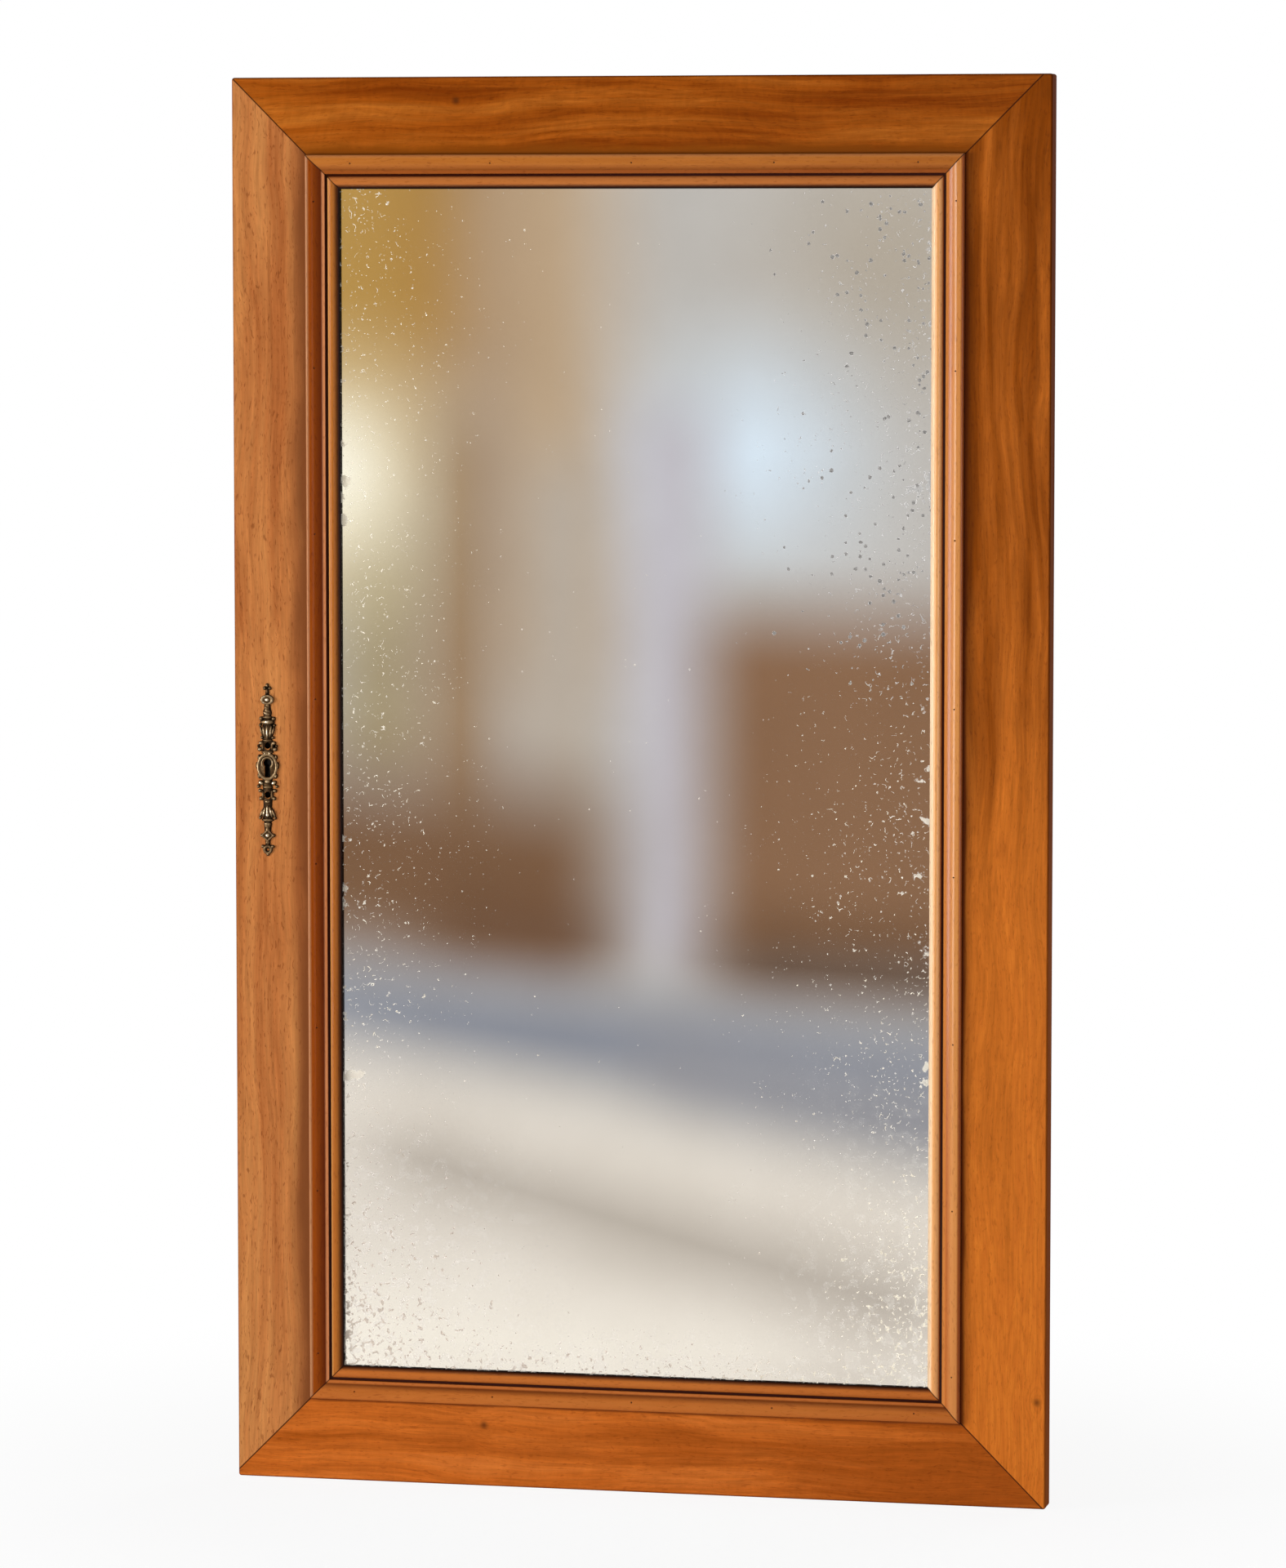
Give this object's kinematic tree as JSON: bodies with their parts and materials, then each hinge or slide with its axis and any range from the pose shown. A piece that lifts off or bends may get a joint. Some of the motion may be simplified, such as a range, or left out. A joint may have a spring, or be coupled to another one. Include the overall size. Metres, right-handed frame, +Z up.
{
  "type": "wooden wall mirror",
  "caption": "Old fruitwood door frame with mitred corners and a planted moulding around a foxed mirror pane, with a brass keyhole escutcheon, its lock, and hanger rings behind.",
  "frame": {"origin": "middle of the bottom edge, halfway through the frame's thickness", "axes": "+X to the viewer's right, +Y from the mirror's face to its back, +Z up"},
  "size_m": [0.8, 0.0389, 1.364],
  "materials": {
    "frame_wood": "waxed fruitwood, satin",
    "moulding_wood": "waxed fruitwood, satin to gloss",
    "peg_wood": "oak, unfinished",
    "softwood": "old pine, unfinished",
    "pane_glass": "polished, slightly wavy",
    "silvering": "old silvering with foxing",
    "aged_brass": "cast, dark patina with rubbed high spots",
    "wrought_iron": "dark, slightly rusted",
    "lock_steel": "filed, aged"
  },
  "bodies": {
    "frame": {"left_stile": "frame_wood", "right_stile": "frame_wood", "top_rail": "frame_wood", "bottom_rail": "frame_wood", "moulding_left": "moulding_wood", "moulding_right": "moulding_wood", "moulding_top": "moulding_wood", "moulding_bottom": "moulding_wood", "corner_pegs": "peg_wood", "moulding_brads": "wrought_iron", "mirror_glass": "pane_glass", "mirror_silvering": "silvering", "setting_blocks": "softwood", "glazing_blocks": "softwood", "backboard_left": "softwood", "backboard_middle": "softwood", "backboard_right": "softwood", "backboard_nails": "wrought_iron", "escutcheon": "aged_brass", "escutcheon_pins": "aged_brass", "lock_case": "lock_steel", "lock_cover": "lock_steel", "lock_guide_pin": "lock_steel", "lock_spring": "lock_steel", "lock_screws": "wrought_iron", "hanger_left": "wrought_iron", "hanger_right": "wrought_iron", "hanger_screws": "wrought_iron"},
    "lock_bolt": {"lock_bolt": "lock_steel"},
    "ring_left": {"ring_left": "wrought_iron"},
    "ring_right": {"ring_right": "wrought_iron"}
  },
  "joints": [
    {"name": "bolt_slide", "type": "slide", "parent": "frame", "child": "lock_bolt", "axis": [-1, 0, 0], "range_m": [0, 0.01]},
    {"name": "ring_left_swing", "type": "hinge", "parent": "frame", "child": "ring_left", "pos_m": [-0.3605, 0.01683, 1.084], "axis": [1, 0, 0], "range_deg": [0, 180]},
    {"name": "ring_right_swing", "type": "hinge", "parent": "frame", "child": "ring_right", "pos_m": [0.3565, 0.01683, 1.084], "axis": [1, 0, 0], "range_deg": [0, 180]}
  ]
}
